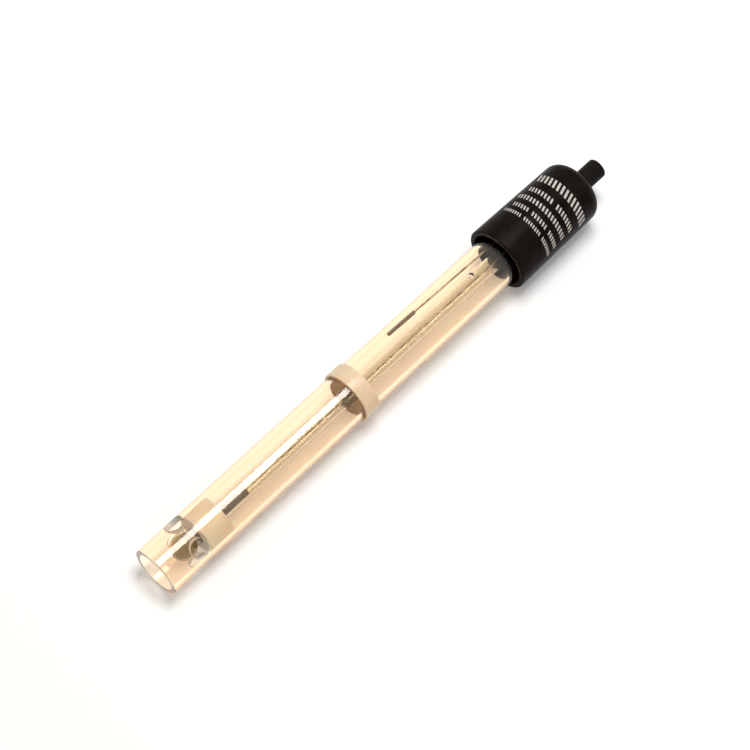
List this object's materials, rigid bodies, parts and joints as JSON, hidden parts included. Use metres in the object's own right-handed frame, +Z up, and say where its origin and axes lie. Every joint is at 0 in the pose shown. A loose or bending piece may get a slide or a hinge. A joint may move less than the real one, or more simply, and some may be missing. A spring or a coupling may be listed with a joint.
{
  "type": "ph electrode",
  "caption": "Slim laboratory pH electrode: clear tube with a windowed guard round a glass bulb, a sliding sleeve over the fill hole, and a black cap with a cable boot.",
  "frame": {"origin": "middle of the lying electrode's box, on the surface it lies on", "axes": "+X from the tip towards the cap, along the lying electrode; +Z up; the electrode's own axis rises by 1.19 degrees towards +X, because it lies on its tip rim and on its wider cap rim"},
  "size_m": [0.1436, 0.0164, 0.0166],
  "materials": {
    "clear_tube_plastic": "clear moulded plastic, slightly yellowed",
    "sleeve_silicone": "milky translucent silicone",
    "bulb_glass": "drawn and blown glass with a faint grey-green tint",
    "seal_resin": "milky cast resin",
    "potting_resin": "black cast resin",
    "frit_ceramic": "porous white ceramic",
    "silver_wire": "bare silver wire, slightly tarnished",
    "silver_chloride": "dull grey-brown chloride coat",
    "cap_plastic": "moulded black plastic, satin gloss",
    "boot_rubber": "moulded black rubber"
  },
  "bodies": {
    "electrode": {"body_tube": "clear_tube_plastic", "bulb_stem": "bulb_glass", "stem_plug": "potting_resin", "tip_seal": "seal_resin", "junction_frit": "frit_ceramic", "upper_seal": "potting_resin", "signal_wire": "silver_wire", "signal_chloride": "silver_chloride", "reference_wire": "silver_wire", "reference_chloride": "silver_chloride", "cap": "cap_plastic", "cable_boot": "boot_rubber"},
    "sleeve": {"fill_sleeve": "sleeve_silicone"}
  },
  "joints": [
    {"name": "sleeve_slide", "type": "slide", "parent": "electrode", "child": "sleeve", "axis": [0.9998, 0, 0.0207], "range_m": [-0.022, 0.0453]}
  ]
}
